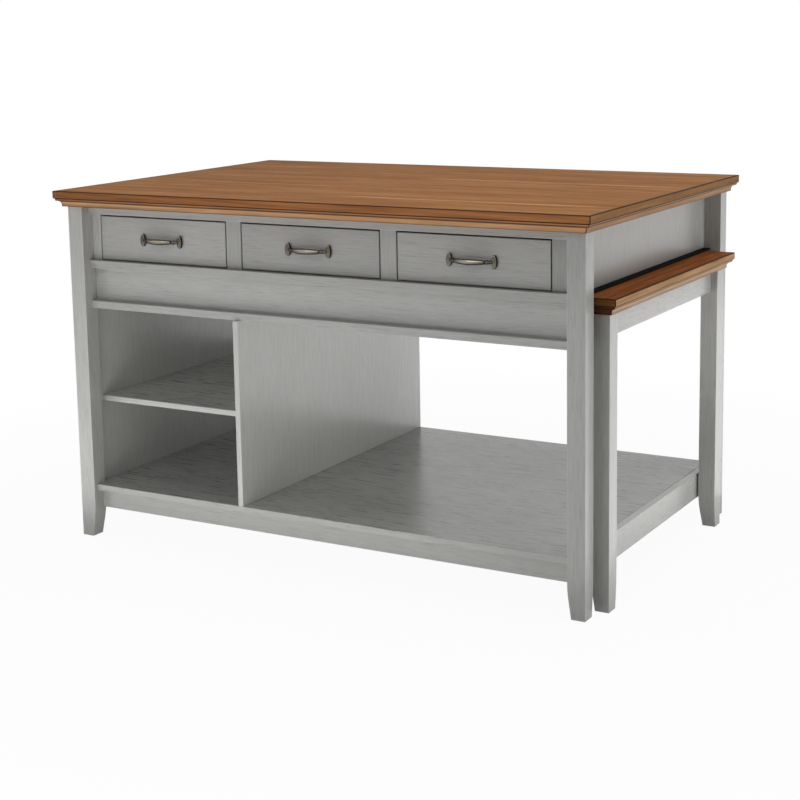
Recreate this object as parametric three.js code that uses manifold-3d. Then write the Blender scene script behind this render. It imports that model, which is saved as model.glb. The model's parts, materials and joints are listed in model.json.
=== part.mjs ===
// Kitchen island with three inset drawers, an open shelf bay and a pull-out side table.
// Millimetres, +Z up. The origin is on the floor, under the centre of the closed unit's outline.
// The drawer fronts face -Y, and the side table slides out towards +X.

import * as THREE from 'three';
import { mergeVertices } from 'three/addons/utils/BufferGeometryUtils.js';
import Module from 'manifold-3d';

const wasm = await Module();
wasm.setup();

// ---------- driving dimensions ----------

// Overall
const unitHeight = 914;
const legFrameLength = 1432;
const legFrameDepth = 926;
const edgeEase = 1;
const fitGap = 0.3;

// Worktop: a slab on a frame of coved mouldings
const worktopEndOverhang = 23;
const worktopFaceOverhang = 30;
const slabThickness = 20;
const slabChamfer = 2;
const mouldingThickness = 20.5;
const mouldingWidth = 84;
const mouldingStep = 3.5;
const mouldingLip = 5.5;
const coveDepth = 12.5;
const coveHeight = 11;

// Legs and their glides
const legSection = 44;
const legFootWidth = 34;
const legFootDepth = 37;
const legTaperHeight = 68;
const legTaperEasing = 26;
const glideThickness = 3;
const glideRadius = 10;

// Face frame, from the top down
const topRailHeight = 21;
const drawerOpeningHeight = 119;
const middleRailHeight = 20;
const fasciaHeight = 124.5;
const lowerRailHeight = 19;
const railRecess = 23;
const railDepth = 22;
const fasciaThickness = 4;
const stileRecess = 40;
const stileThickness = 18;
const middleStileWidth = 43;
const leftStileMargin = 42.5;
const rightStileMargin = 38.5;

// Panels and boards
const panelThickness = 14.5;
const leftPanelRecess = 13.5;
const leftBayLength = 479.75;
const deckThickness = 6;
const compartmentFloorThickness = 12;
const bottomBoardTop = 141.5;
const bottomBoardThickness = 17;
const bottomBoardRecess = 12;
const bottomRailHeight = 48.5;
const bottomRailThickness = 18;
const bottomRailRecess = 32.5;
const rightRailRecess = 25;
const shelfHeight = 226;
const shelfRecess = 70;
const shelfHousing = 5;

// Drawers
const drawerCount = 3;
const drawerSideGap = 3.2;
const drawerTopGap = 6;
const drawerBottomGap = 2;
const drawerFrontThickness = 18;
const drawerLength = 410;
const drawerBoxHeight = 96;
const drawerBoardThickness = 12;
const drawerBottomThickness = 4;
const drawerGrooveLift = 14.5;
const drawerGrooveDepth = 5;
const partitionThickness = 15;
const partitionHeight = 124;
const runnerWidth = 30;
const runnerHeight = 8;
const runnerClearance = 0.5;
const slideCheekWidth = 12;

// Drawer pulls
const pullSpan = 113.5;
const pullRise = 28;
const pullPlateWidth = 14.5;
const pullPlateHeight = 30.5;
const pullPlateThickness = 8;
const pullBellyRadius = 7.3;
const pullNeckRadius = 3.7;
const pullStudRadius = 2;
const pullNutRadius = 4;
const pullNutThickness = 3;

// Pull-out side table
const tableLegProud = 25;
const tableFrontSetback = 75.5;
const tableBackSetback = 92;
const tableClearance = 4;
const tableSlabThickness = 18;
const tableOverhang = 22.5;
const tableTopLength = 860;
const tableMouldingWidth = 63;
const tableApronHeight = 57.5;
const tableApronRecess = 17;
const tableApronThickness = 18;
const tableRailThickness = 18;
const tableRailHeight = 45;
const tableTravel = 500;
const guideSoleWidth = 50;
const guideLipThickness = 8;
const guideLipHeight = 24;
const guideEndRecess = 4;
const stopLength = 30;
const stopWidth = 20;

// ---------- places worked out from them ----------

const right = legFrameLength / 2;
const left = -right;
const back = legFrameDepth / 2;
const front = -back;
const rightLegInner = right - legSection;
const leftLegInner = left + legSection;
const backLegInner = back - legSection;
const frontLegInner = front + legSection;

const carcassTop = unitHeight - slabThickness - mouldingThickness;
const topRailBottom = carcassTop - topRailHeight;
const middleRailTop = topRailBottom - drawerOpeningHeight;
const middleRailBottom = middleRailTop - middleRailHeight;
const lowerRailBottom = middleRailTop - fasciaHeight;
const lowerRailTop = lowerRailBottom + lowerRailHeight;
const deckUnderside = middleRailTop - deckThickness;
const compartmentFloorTop = lowerRailBottom + compartmentFloorThickness;

const railFront = front + railRecess;
const railBack = railFront + railDepth;
const fasciaBack = railBack + fasciaThickness;
const stileFront = front + stileRecess;
const stileBack = stileFront + stileThickness;

const leftPanelOuter = left + leftPanelRecess;
const leftPanelInner = leftPanelOuter + panelThickness;
const rightPanelInner = rightLegInner - panelThickness;
const drawersLeft = leftPanelInner + leftStileMargin;
const drawersRight = rightPanelInner - rightStileMargin;
const openingWidth = (drawersRight - drawersLeft - (drawerCount - 1) * middleStileWidth) / drawerCount;
const openingLeft = (index) => drawersLeft + index * (openingWidth + middleStileWidth);
const openingRight = (index) => openingLeft(index) + openingWidth;

const dividerRight = leftPanelInner + leftBayLength;
const dividerLeft = dividerRight - panelThickness;
const bottomBoardUnderside = bottomBoardTop - bottomBoardThickness;
const bottomBoardFront = front + bottomBoardRecess;
const bottomRailHeights = [bottomBoardUnderside - bottomRailHeight, bottomBoardUnderside];
const bottomRailFront = front + bottomRailRecess;
const bottomRailBack = back - bottomRailRecess;
const shelfTop = bottomBoardTop + shelfHeight;

const tableLegOuter = right + tableLegProud;
const tableLegInner = tableLegOuter - legSection;
const tableLegFront = front + tableFrontSetback;
const tableLegBack = back - tableBackSetback;
const tableTopEdge = tableLegOuter + tableOverhang;
const tableTopEnd = tableTopEdge - tableTopLength;
const tableTopFront = tableLegFront - tableOverhang;
const tableTopBack = tableLegBack + tableOverhang;
const tableTop = deckUnderside - tableClearance;
const tableUnderside = tableTop - tableSlabThickness - mouldingThickness;
const tableRailBottom = tableUnderside - tableRailHeight;
const tableApronOuter = tableLegOuter - tableApronRecess;
const tableApronInner = tableApronOuter - tableApronThickness;

// The closed unit is centred between the worktop's left end and the side table's edge.
const centreShift = (tableTopEdge - (right + worktopEndOverhang)) / 2;

// ---------- finishes ----------

const greyPaint = { color: 0x9b9b98, roughness: 0.55, metalness: 0 };
const brownStain = { color: 0x8f6240, roughness: 0.45, metalness: 0 };
const bareBirch = { color: 0xc9ab80, roughness: 0.7, metalness: 0 };
const darkPewter = { color: 0x6b665e, roughness: 0.35, metalness: 0.9 };
const blackNylon = { color: 0x3a3a3a, roughness: 0.6, metalness: 0 };

// ---------- shape helpers ----------

const cutterOverrun = 2;
const curveSteps = 6;
const roundSides = 16;

function toSolid(geometry) {
  const bare = geometry.clone();
  bare.deleteAttribute('normal');
  bare.deleteAttribute('uv');
  const merged = mergeVertices(bare, 1e-4);
  return new wasm.Manifold(new wasm.Mesh({
    numProp: 3,
    vertProperties: new Float32Array(merged.attributes.position.array),
    triVerts: new Uint32Array(merged.index.array),
  }));
}

function toGeometry(solid) {
  const mesh = solid.getMesh();
  const geometry = new THREE.BufferGeometry();
  geometry.setAttribute('position', new THREE.BufferAttribute(mesh.vertProperties, 3));
  geometry.setIndex(new THREE.BufferAttribute(mesh.triVerts, 1));
  return geometry;
}

function join(geometries) {
  return toGeometry(geometries.map(toSolid).reduce((whole, piece) => whole.add(piece)));
}

function cut(geometry, tools) {
  return toGeometry(tools.map(toSolid).reduce((rest, tool) => rest.subtract(tool), toSolid(geometry)));
}

function overlap(first, second) {
  return toGeometry(toSolid(first).intersect(toSolid(second)));
}

// A flat outline in plan, raised from z0 to z1, with its upper and lower arrises eased.
function plate(points, [z0, z1], ease = edgeEase) {
  const geometry = new THREE.ExtrudeGeometry(polygon(points), {
    depth: z1 - z0 - 2 * ease,
    bevelEnabled: ease > 0,
    bevelThickness: ease,
    bevelSize: ease,
    bevelOffset: -ease,
    bevelSegments: 1,
  });
  return geometry.translate(0, 0, z0 + ease);
}

// A board between two corners, with all twelve edges eased.
function board([x0, x1], [y0, y1], heights, ease = edgeEase) {
  if (ease === 0) {
    return plate([[x0, y0], [x1, y0], [x1, y1], [x0, y1]], heights, 0);
  }
  return plate([
    [x0 + ease, y0], [x1 - ease, y0], [x1, y0 + ease], [x1, y1 - ease],
    [x1 - ease, y1], [x0 + ease, y1], [x0, y1 - ease], [x0, y0 + ease],
  ], heights, ease);
}

function block(spanX, spanY, heights) {
  return board(spanX, spanY, heights, 0);
}

function polygon(points) {
  return new THREE.Shape(points.map(([a, b]) => new THREE.Vector2(a, b)));
}

// A section drawn in Y and Z, carried along X.
function prismAlongX(section, [x0, x1]) {
  const turn = new THREE.Matrix4().makeBasis(
    new THREE.Vector3(0, 1, 0),
    new THREE.Vector3(0, 0, 1),
    new THREE.Vector3(1, 0, 0),
  );
  return new THREE.ExtrudeGeometry(section, { depth: x1 - x0, bevelEnabled: false, curveSegments: curveSteps })
    .applyMatrix4(turn)
    .translate(x0, 0, 0);
}

// A section drawn in X and Z, carried along Y.
function prismAlongY(section, [y0, y1]) {
  const turn = new THREE.Matrix4().makeBasis(
    new THREE.Vector3(1, 0, 0),
    new THREE.Vector3(0, 0, 1),
    new THREE.Vector3(0, -1, 0),
  );
  return new THREE.ExtrudeGeometry(section, { depth: y1 - y0, bevelEnabled: false, curveSegments: curveSteps })
    .applyMatrix4(turn)
    .translate(0, y1, 0);
}

function rodAlongY(radius, [y0, y1], x, z) {
  return new THREE.CylinderGeometry(radius, radius, y1 - y0, roundSides).translate(x, (y0 + y1) / 2, z);
}

const island = new THREE.Group();
island.position.x = -centreShift;

function add(name, geometry, finish) {
  geometry.computeVertexNormals();
  const mesh = new THREE.Mesh(geometry, new THREE.MeshStandardMaterial(finish));
  mesh.name = name;
  island.add(mesh);
}

// ---------- worktop ----------

// A slab's section: square edges, eased above and chamfered below.
function slabSection([a0, a1], top, thickness) {
  const bottom = top - thickness;
  return polygon([
    [a0 + slabChamfer, bottom], [a1 - slabChamfer, bottom], [a1, bottom + slabChamfer],
    [a1, top - edgeEase], [a1 - edgeEase, top], [a0 + edgeEase, top],
    [a0, top - edgeEase], [a0, bottom + slabChamfer],
  ]);
}

function slab(spanX, spanY, top, thickness) {
  return overlap(
    prismAlongY(slabSection(spanX, top, thickness), spanY),
    prismAlongX(slabSection(spanY, top, thickness), spanX),
  );
}

// The section of a frame of mouldings under a slab: a small step, a lip, a cove and then a short
// square foot on each coved side. The numbers are the slab's own edges, and the first side may be
// left square.
function mouldedSection([a0, a1], base, firstSideCoved) {
  const top = base + mouldingThickness;
  const coveFoot = top - mouldingLip - coveHeight;
  const section = new THREE.Shape();
  if (firstSideCoved) {
    section.moveTo(a0 + mouldingStep, top);
    section.absellipse(a0 + mouldingStep, coveFoot, coveDepth, coveHeight, Math.PI / 2, 0, true);
    section.lineTo(a0 + mouldingStep + coveDepth, base);
  } else {
    section.moveTo(a0, top);
    section.lineTo(a0, base);
  }
  section.lineTo(a1 - mouldingStep - coveDepth, base);
  section.absellipse(a1 - mouldingStep, coveFoot, coveDepth, coveHeight, Math.PI, Math.PI / 2, true);
  section.lineTo(a1 - mouldingStep, top);
  return section;
}

function mouldedFrame([x0, x1], [y0, y1], base, width, leftSideCoved) {
  const plateau = overlap(
    prismAlongY(mouldedSection([x0, x1], base, leftSideCoved), [y0, y1]),
    prismAlongX(mouldedSection([y0, y1], base, true), [x0, x1]),
  );
  const inset = mouldingStep + width;
  const openLeft = leftSideCoved ? x0 + inset : x0 - cutterOverrun;
  const hollow = block([openLeft, x1 - inset], [y0 + inset, y1 - inset],
    [base - cutterOverrun, base + mouldingThickness + cutterOverrun]);
  return cut(plateau, [hollow]);
}

const worktopSpanX = [left - worktopEndOverhang, right + worktopEndOverhang];
const worktopSpanY = [front - worktopFaceOverhang, back + worktopFaceOverhang];

add('worktop_slab', slab(worktopSpanX, worktopSpanY, unitHeight, slabThickness), brownStain);
add('worktop_moulding', mouldedFrame(worktopSpanX, worktopSpanY, carcassTop, mouldingWidth, true), brownStain);

// ---------- legs and glides ----------

// Side view of a leg: straight outside, and drawn in towards the foot on the inside.
function legView(outer, inward, top, footSection) {
  const inner = outer + inward * legSection;
  const foot = outer + inward * footSection;
  const easingShare = legTaperEasing / (legTaperHeight - glideThickness);
  const view = new THREE.Shape();
  view.moveTo(outer, glideThickness);
  view.lineTo(foot, glideThickness);
  view.lineTo(inner + (foot - inner) * easingShare, legTaperHeight - legTaperEasing);
  view.quadraticCurveTo(inner, legTaperHeight, inner, legTaperHeight + legTaperEasing);
  view.lineTo(inner, top);
  view.lineTo(outer, top);
  return view;
}

const spanFrom = (start, reach) => [Math.min(start, start + reach), Math.max(start, start + reach)];

function leg(outerX, inwardX, outerY, inwardY, top) {
  return overlap(
    prismAlongY(legView(outerX, inwardX, top, legFootWidth), spanFrom(outerY, inwardY * legSection)),
    prismAlongX(legView(outerY, inwardY, top, legFootDepth), spanFrom(outerX, inwardX * legSection)),
  );
}

function glide(outerX, inwardX, outerY, inwardY) {
  const centreX = outerX + inwardX * legFootWidth / 2;
  const centreY = outerY + inwardY * legFootDepth / 2;
  return new THREE.CylinderGeometry(glideRadius, glideRadius, glideThickness, roundSides)
    .rotateX(Math.PI / 2)
    .translate(centreX, centreY, glideThickness / 2);
}

const legCorners = {
  front_left: [left, 1, front, 1],
  front_right: [right, -1, front, 1],
  back_left: [left, 1, back, -1],
  back_right: [right, -1, back, -1],
};
for (const [place, corner] of Object.entries(legCorners)) {
  add(`leg_${place}`, leg(...corner, carcassTop), greyPaint);
  add(`glide_${place}`, glide(...corner), blackNylon);
}

// ---------- face frame ----------

const betweenLegs = [leftLegInner, rightLegInner];
const railSpan = [railFront, railBack];

add('rail_top', board(betweenLegs, railSpan, [topRailBottom, carcassTop]), greyPaint);
add('rail_middle', board(betweenLegs, railSpan, [middleRailBottom, middleRailTop]), greyPaint);
add('rail_lower', board(betweenLegs, railSpan, [lowerRailBottom, lowerRailTop]), greyPaint);
add('fascia_panel', block(betweenLegs, [railBack, fasciaBack], [lowerRailBottom, middleRailTop]), greyPaint);

const stileEdges = {
  stile_left: [leftLegInner, openingLeft(0)],
  stile_middle_left: [openingRight(0), openingLeft(1)],
  stile_middle_right: [openingRight(1), openingLeft(2)],
  stile_right: [openingRight(2), rightLegInner],
};
for (const [name, edges] of Object.entries(stileEdges)) {
  add(name, board(edges, [stileFront, stileBack], [middleRailTop, topRailBottom]), greyPaint);
}

// ---------- panels and boards ----------

const betweenLegsDeep = [frontLegInner, backLegInner];
const shelfSpanY = [front + shelfRecess, back - shelfRecess];
const shelfHeights = [shelfTop - panelThickness, shelfTop];

// The shelf sits in a stopped housing in the side panel and in the divider.
const housing = block(
  [leftPanelInner - shelfHousing, dividerLeft + shelfHousing],
  [shelfSpanY[0] - fitGap, shelfSpanY[1] + fitGap],
  [shelfHeights[0] - fitGap, shelfHeights[1] + fitGap],
);
const leftPanel = board([leftPanelOuter, leftPanelInner], betweenLegsDeep, [bottomBoardUnderside, carcassTop]);
const divider = board([dividerLeft, dividerRight], [bottomBoardFront, back], [bottomBoardTop, lowerRailBottom]);

add('side_panel_left', cut(leftPanel, [housing]), greyPaint);
add('divider_panel', cut(divider, [housing]), greyPaint);
add('shelf', board(
  [leftPanelInner - shelfHousing + fitGap, dividerLeft + shelfHousing - fitGap],
  shelfSpanY,
  shelfHeights,
), greyPaint);
add('side_panel_right', board(
  [rightPanelInner, rightLegInner],
  [stileBack, backLegInner],
  [deckUnderside, carcassTop],
), greyPaint);
add('back_panel', board(
  betweenLegs,
  [backLegInner, backLegInner + panelThickness],
  [lowerRailBottom, carcassTop],
), greyPaint);
add('compartment_floor', block(
  [leftPanelInner, rightPanelInner],
  [fasciaBack, backLegInner],
  [lowerRailBottom, compartmentFloorTop],
), greyPaint);
add('drawer_deck', block(
  [leftPanelInner, rightPanelInner],
  [fasciaBack, backLegInner],
  [deckUnderside, middleRailTop],
), bareBirch);

for (const [name, index] of [['partition_left', 0], ['partition_right', 1]]) {
  const centre = (openingRight(index) + openingLeft(index + 1)) / 2;
  add(name, block(
    [centre - partitionThickness / 2, centre + partitionThickness / 2],
    [stileBack, backLegInner],
    [middleRailTop, middleRailTop + partitionHeight],
  ), bareBirch);
}

// ---------- base ----------

// The bottom board fills the span between the legs, and reaches the left side panel past them.
add('bottom_board', plate([
  [leftLegInner, bottomBoardFront], [rightLegInner, bottomBoardFront], [rightLegInner, back],
  [leftLegInner, back], [leftLegInner, backLegInner], [leftPanelInner, backLegInner],
  [leftPanelInner, frontLegInner], [leftLegInner, frontLegInner],
], [bottomBoardUnderside, bottomBoardTop]), greyPaint);
add('bottom_rail_front', board(
  betweenLegs,
  [bottomRailFront, bottomRailFront + bottomRailThickness],
  bottomRailHeights,
), greyPaint);
add('bottom_rail_back', board(
  betweenLegs,
  [bottomRailBack - bottomRailThickness, bottomRailBack],
  bottomRailHeights,
), greyPaint);
add('bottom_rail_left', board(
  [leftPanelOuter, leftPanelOuter + bottomRailThickness],
  betweenLegsDeep,
  bottomRailHeights,
), greyPaint);
add('bottom_rail_right', board(
  [rightLegInner, right - rightRailRecess],
  betweenLegsDeep,
  [bottomRailHeights[0], bottomBoardTop],
), greyPaint);

// ---------- drawer pulls ----------

const bowSteps = 16;
const bellyFullness = 1.5;

// A bow handle: a round bar with a full belly, bent forward between two thick oval plates. Two
// studs go back from it through the drawer front, each with its nut. The front's face is y = 0.
function pull(boardThickness) {
  const profile = [new THREE.Vector2(0, -pullSpan / 2)];
  for (let i = 0; i <= bowSteps; i += 1) {
    const along = -1 + 2 * i / bowSteps;
    const swell = Math.max(0, Math.cos(along * Math.PI / 2)) ** bellyFullness;
    const radius = pullNeckRadius + (pullBellyRadius - pullNeckRadius) * swell;
    profile.push(new THREE.Vector2(radius, along * pullSpan / 2));
  }
  profile.push(new THREE.Vector2(0, pullSpan / 2));
  const bar = new THREE.LatheGeometry(profile, roundSides).rotateZ(-Math.PI / 2);
  const points = bar.attributes.position;
  const endOffset = pullPlateThickness / 2;
  const middleOffset = pullRise - pullBellyRadius;
  for (let i = 0; i < points.count; i += 1) {
    const bow = Math.cos(Math.PI * points.getX(i) / pullSpan);
    points.setY(i, points.getY(i) - endOffset - (middleOffset - endOffset) * bow);
  }
  const pieces = [bar];
  const oval = new THREE.Shape();
  oval.absellipse(0, 0, pullPlateWidth / 2, pullPlateHeight / 2, 0, 2 * Math.PI);
  for (const side of [-1, 1]) {
    const x = side * pullSpan / 2;
    pieces.push(new THREE.ExtrudeGeometry(oval, {
      depth: pullPlateThickness - 2 * edgeEase,
      bevelThickness: edgeEase,
      bevelSize: edgeEase,
      bevelOffset: -edgeEase,
      bevelSegments: 1,
      curveSegments: roundSides,
    }).rotateX(Math.PI / 2).translate(x, -edgeEase, 0));
    pieces.push(rodAlongY(pullStudRadius, [-pullPlateThickness / 2, boardThickness + pullNutThickness], x, 0));
    pieces.push(rodAlongY(pullNutRadius, [boardThickness, boardThickness + pullNutThickness], x, 0));
  }
  return join(pieces);
}

// ---------- drawers ----------

const drawerInnerFace = stileFront + drawerFrontThickness;
const drawerBack = drawerInnerFace + drawerLength;
const drawerSpanY = [drawerInnerFace, drawerBack];
const drawerFrontHeights = [middleRailTop + drawerBottomGap, topRailBottom - drawerTopGap];
const drawerBoxBottom = middleRailTop + fitGap;
const drawerBoxHeights = [drawerBoxBottom, drawerBoxBottom + drawerBoxHeight];
const drawerBottomUnderside = drawerBoxBottom + drawerGrooveLift;
const drawerBottomHeights = [drawerBottomUnderside, drawerBottomUnderside + drawerBottomThickness];
const pullCentreZ = (drawerFrontHeights[0] + drawerFrontHeights[1]) / 2;
const runnerTop = middleRailTop + runnerHeight;

function drawerBox(outerLeft, outerRight) {
  const innerLeft = outerLeft + drawerBoardThickness;
  const innerRight = outerRight - drawerBoardThickness;
  const shell = board([outerLeft, outerRight], drawerSpanY, drawerBoxHeights);
  const inside = block(
    [innerLeft, innerRight],
    [drawerInnerFace - cutterOverrun, drawerBack - drawerBoardThickness],
    [drawerBoxBottom - cutterOverrun, drawerBoxHeights[1] + cutterOverrun],
  );
  const groove = block(
    [innerLeft - drawerGrooveDepth, innerRight + drawerGrooveDepth],
    [drawerInnerFace - cutterOverrun, drawerBack - drawerBoardThickness],
    [drawerBottomHeights[0] - fitGap, drawerBottomHeights[1] + fitGap],
  );
  const underBack = block(
    [innerLeft, innerRight],
    [drawerBack - 2 * drawerBoardThickness, drawerBack + cutterOverrun],
    [drawerBoxBottom - cutterOverrun, drawerBottomHeights[1] + fitGap],
  );
  return cut(shell, [inside, groove, underBack]);
}

for (let index = 0; index < drawerCount; index += 1) {
  const name = `drawer_${index + 1}`;
  const outerLeft = openingLeft(index) + drawerSideGap;
  const outerRight = openingRight(index) - drawerSideGap;
  const centre = (outerLeft + outerRight) / 2;

  const studHoles = [-1, 1].map((side) => rodAlongY(
    pullStudRadius + fitGap,
    [stileFront - cutterOverrun, drawerInnerFace + cutterOverrun],
    centre + side * pullSpan / 2,
    pullCentreZ,
  ));
  const frontBoard = board([outerLeft, outerRight], [stileFront, drawerInnerFace], drawerFrontHeights);
  add(`${name}_front`, cut(frontBoard, studHoles), greyPaint);
  add(`${name}_pull`, pull(drawerFrontThickness).translate(centre, stileFront, pullCentreZ), darkPewter);
  add(`${name}_box`, drawerBox(outerLeft, outerRight), bareBirch);

  const bottomInset = drawerBoardThickness - drawerGrooveDepth + fitGap;
  const bottomSpanY = [drawerInnerFace, drawerBack - drawerBoardThickness - fitGap];
  add(`${name}_bottom`, block(
    [outerLeft + bottomInset, outerRight - bottomInset],
    bottomSpanY,
    drawerBottomHeights,
  ), bareBirch);

  // The runner is screwed to the deck, and a grooved slide under the drawer bottom rides on it.
  add(`${name}_runner`, block(
    [centre - runnerWidth / 2, centre + runnerWidth / 2],
    [stileBack, stileBack + drawerLength],
    [middleRailTop, runnerTop],
  ), bareBirch);
  const grooveReach = runnerWidth / 2 + runnerClearance;
  const slideReach = grooveReach + slideCheekWidth;
  const slideBlock = block([centre - slideReach, centre + slideReach], bottomSpanY,
    [drawerBoxBottom, drawerBottomUnderside]);
  const runnerGroove = block(
    [centre - grooveReach, centre + grooveReach],
    [bottomSpanY[0] - cutterOverrun, bottomSpanY[1] + cutterOverrun],
    [drawerBoxBottom - cutterOverrun, runnerTop + fitGap],
  );
  add(`${name}_slide`, cut(slideBlock, [runnerGroove]), bareBirch);
}

// ---------- pull-out side table ----------

const tableSpanX = [tableTopEnd, tableTopEdge];
const tableSpanY = [tableTopFront, tableTopBack];
const tableLegCorners = {
  front: [tableLegOuter, -1, tableLegFront, 1],
  back: [tableLegOuter, -1, tableLegBack, -1],
};

add('table_slab', slab(tableSpanX, tableSpanY, tableTop, tableSlabThickness), brownStain);
add('table_moulding', mouldedFrame(tableSpanX, tableSpanY, tableUnderside, tableMouldingWidth, false), brownStain);
for (const [place, corner] of Object.entries(tableLegCorners)) {
  add(`table_leg_${place}`, leg(...corner, tableUnderside), greyPaint);
  add(`table_glide_${place}`, glide(...corner), blackNylon);
}
add('table_apron', board(
  [tableApronInner, tableApronOuter],
  [tableLegFront + legSection, tableLegBack - legSection],
  [tableUnderside - tableApronHeight, tableUnderside],
), greyPaint);

// Two side rails and a cross rail, glued up as one frame. The legs end the side rails.
const frontRail = [tableLegFront, tableLegFront + tableRailThickness];
const backRail = [tableLegBack - tableRailThickness, tableLegBack];
const crossRail = [tableTopEnd, tableTopEnd + tableRailThickness];
const tableRailHeights = [tableRailBottom, tableUnderside];
add('table_underframe', join([
  block([tableTopEnd, tableLegInner], frontRail, tableRailHeights),
  block([tableTopEnd, tableLegInner], backRail, tableRailHeights),
  block(crossRail, [frontRail[0], backRail[1]], tableRailHeights),
]), bareBirch);

// Each side rail rides on an L-shaped guide on the compartment floor. A block at the guide's inner
// end stops the rail when the table is shut, and one beside the rail stops the cross rail when the
// table is right out.
const guideTop = tableRailBottom - fitGap;
const lipTop = guideTop + guideLipHeight;
const closedStop = [tableTopEnd - fitGap - stopLength, tableTopEnd - fitGap];
const openStopStart = crossRail[1] + tableTravel + fitGap;

function guide(railOuter, railInner) {
  const inward = Math.sign(railInner - railOuter);
  const lipInner = railOuter - inward * fitGap;
  const lipOuter = lipInner - inward * guideLipThickness;
  const soleInner = lipOuter + inward * guideSoleWidth;
  const section = polygon([
    [lipOuter, compartmentFloorTop], [soleInner, compartmentFloorTop], [soleInner, guideTop],
    [lipInner, guideTop], [lipInner, lipTop], [lipOuter, lipTop],
  ]);
  const stopHeights = [compartmentFloorTop, lipTop];
  return join([
    prismAlongX(section, [closedStop[0], rightPanelInner - guideEndRecess]),
    block(closedStop, spanFrom(lipOuter, inward * (guideLipThickness + tableRailThickness)), stopHeights),
    block([openStopStart, openStopStart + stopLength], spanFrom(soleInner, -inward * stopWidth), stopHeights),
  ]);
}

add('table_guide_front', guide(frontRail[0], frontRail[1]), bareBirch);
add('table_guide_back', guide(backRail[1], backRail[0]), bareBirch);

export default island;
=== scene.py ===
import json
import math
import random

import bpy
import numpy as np
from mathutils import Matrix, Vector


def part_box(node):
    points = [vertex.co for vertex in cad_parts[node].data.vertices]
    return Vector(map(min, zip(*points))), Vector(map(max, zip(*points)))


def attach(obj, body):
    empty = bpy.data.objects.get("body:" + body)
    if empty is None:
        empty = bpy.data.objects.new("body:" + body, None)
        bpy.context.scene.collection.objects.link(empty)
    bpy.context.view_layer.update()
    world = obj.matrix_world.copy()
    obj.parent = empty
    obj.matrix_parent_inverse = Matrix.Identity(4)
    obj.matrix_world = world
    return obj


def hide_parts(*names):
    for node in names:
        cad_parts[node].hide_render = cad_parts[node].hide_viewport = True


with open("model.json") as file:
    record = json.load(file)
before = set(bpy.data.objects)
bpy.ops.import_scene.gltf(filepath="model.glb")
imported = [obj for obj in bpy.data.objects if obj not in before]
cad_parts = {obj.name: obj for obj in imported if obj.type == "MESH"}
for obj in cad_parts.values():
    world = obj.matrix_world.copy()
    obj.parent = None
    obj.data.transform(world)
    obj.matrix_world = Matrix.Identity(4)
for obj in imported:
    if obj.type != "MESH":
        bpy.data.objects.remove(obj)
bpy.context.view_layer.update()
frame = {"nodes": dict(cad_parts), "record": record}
nodes = frame["nodes"]
mm = 0.001
print("frame loaded:", len(nodes), "nodes")


def linear(hexColour, tone=1.0):
    # sRGB hex to linear: v/12.92 below 0.04045, else ((v + 0.055) / 1.055) to the power 2.4
    parts = np.array([int(hexColour[i:i + 2], 16) / 255 for i in (1, 3, 5)])
    low, high = parts / 12.92, ((parts + 0.055) / 1.055) ** 2.4
    return tuple(float(v) for v in np.where(parts <= 0.04045, low, high) * tone) + (1.0,)


def addNode(tree, kind, settings=None, inputs=None):
    # a node, its settings, and for each input either a fixed value or a link from another node's
    # output; a MapRange's sockets 1 to 4 are from low, from high, to low and to high, and a Mix's 6
    # and 7 are its two colours
    made = tree.nodes.new("ShaderNode" + kind)
    for name, value in (settings or {}).items():
        setattr(made, name, value)
    for socket, value in (inputs or {}).items():
        if isinstance(value, bpy.types.Node):
            value = value.outputs[0]
        if isinstance(value, bpy.types.NodeSocket):
            tree.links.new(value, made.inputs[socket])
        else:
            made.inputs[socket].default_value = value
    return made


def fillRamp(ramp, stops):
    # stops are (position, linear colour), from low to high
    marks = ramp.color_ramp.elements
    while len(marks) < len(stops):
        marks.new(0.5)
    for mark, (position, colour) in zip(marks, stops):
        mark.position = position
        mark.color = colour
    return ramp


def newMaterial(name):
    made = bpy.data.materials.new(name)
    made.use_nodes = True
    made.node_tree.nodes.clear()
    return made, made.node_tree


def endMaterial(tree, shader):
    addNode(tree, "OutputMaterial", inputs={"Surface": shader})


def setMaterial(piece, material):
    piece.data.materials.clear()
    piece.data.materials.append(material)


def shellFaces(rows, columns, loop):
    # quads between neighbouring rings of a grid whose columns close round; loop also joins the last
    # ring to the first
    row = np.arange(rows if loop else rows - 1)[:, None]
    column = np.arange(columns)[None, :]
    after, beside = (row + 1) % rows, (column + 1) % columns
    quads = np.stack([row * columns + column, row * columns + beside,
                      after * columns + beside, after * columns + column], axis=-1)
    return quads.reshape(-1, 4)


def enclosed(points, quads):
    # volume as one sixth of the sum of a . (b x c + c x d) over every quad a, b, c, d
    a, b, c, d = (points[quads[:, i]] for i in range(4))
    return float((a * (np.cross(b, c) + np.cross(c, d))).sum()) / 6


def shell(grid, loop=False):
    # a closed shell (points, faces) from rings of points; open ends get flat caps, and all faces
    # point outwards
    rows, columns = grid.shape[:2]
    points = grid.reshape(-1, 3)
    quads = shellFaces(rows, columns, loop)
    middle = points - points.mean(axis=0)
    faces = quads.tolist()
    if not loop:
        first, last = range(columns), range((rows - 1) * columns, rows * columns)
        faces += [list(first)[::-1], list(last)]
    if enclosed(middle, quads) < 0:
        faces = [face[::-1] for face in faces]
    return points, faces


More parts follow.
